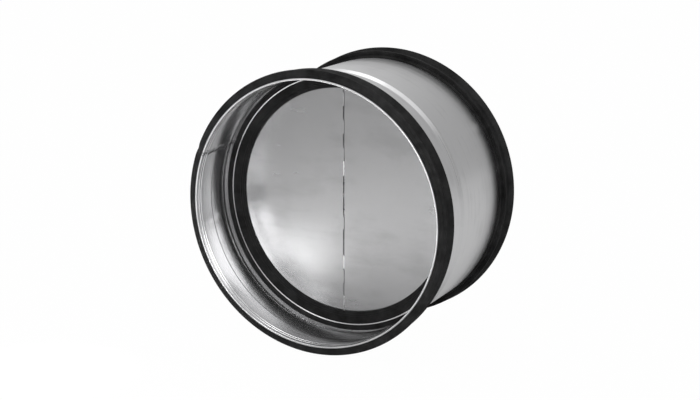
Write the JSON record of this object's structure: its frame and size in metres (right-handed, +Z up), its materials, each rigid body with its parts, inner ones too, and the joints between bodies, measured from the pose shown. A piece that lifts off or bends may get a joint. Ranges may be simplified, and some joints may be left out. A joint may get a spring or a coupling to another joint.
{
  "type": "airflow operated damper",
  "caption": "Short round duct damper with lip seals at both ends and two sprung half-round blades on a vertical spindle, which the airflow pushes open.",
  "frame": {"origin": "on the duct axis at the casing's mid-length", "axes": "+Y runs downstream along the duct axis, +Z up along the spindle, +X to the right as seen from upstream"},
  "size_m": [0.2108, 0.131, 0.2108],
  "materials": {
    "galvanised_sheet": "bright galvanised",
    "lip_rubber": "matt black",
    "seat_rubber": "matt black",
    "blade_sheet": "mill finish",
    "spindle_steel": "zinc plated",
    "spring_steel": "drawn wire",
    "nylon": "natural"
  },
  "bodies": {
    "casing": {"casing": "galvanised_sheet", "front_lip_seal": "lip_rubber", "rear_lip_seal": "lip_rubber", "seat_ring": "galvanised_sheet", "seat_seal": "seat_rubber", "wall_seal": "seat_rubber", "spindle": "spindle_steel", "upper_bracket": "galvanised_sheet", "lower_bracket": "galvanised_sheet", "upper_clip": "spring_steel", "lower_clip": "spring_steel", "upper_spacer": "nylon", "lower_spacer": "nylon", "spring_washer": "nylon", "upper_stop_buffers": "seat_rubber", "lower_stop_buffers": "seat_rubber", "left_spring": "spring_steel", "right_spring": "spring_steel"},
    "left_blade": {"left_blade": "blade_sheet"},
    "right_blade": {"right_blade": "blade_sheet"}
  },
  "joints": [
    {"name": "left_blade_hinge", "type": "hinge", "parent": "casing", "child": "left_blade", "pos_m": [0, -0.0114, 0], "axis": [0, 0, -1], "range_deg": [0, 80], "stiffness_Nm_per_rad": 0.03, "springref_deg": -34.38, "deforming": ["left_spring"]},
    {"name": "right_blade_hinge", "type": "hinge", "parent": "casing", "child": "right_blade", "pos_m": [0, -0.0114, 0], "axis": [0, 0, 1], "range_deg": [0, 80], "stiffness_Nm_per_rad": 0.03, "springref_deg": -34.38, "deforming": ["right_spring"]}
  ]
}
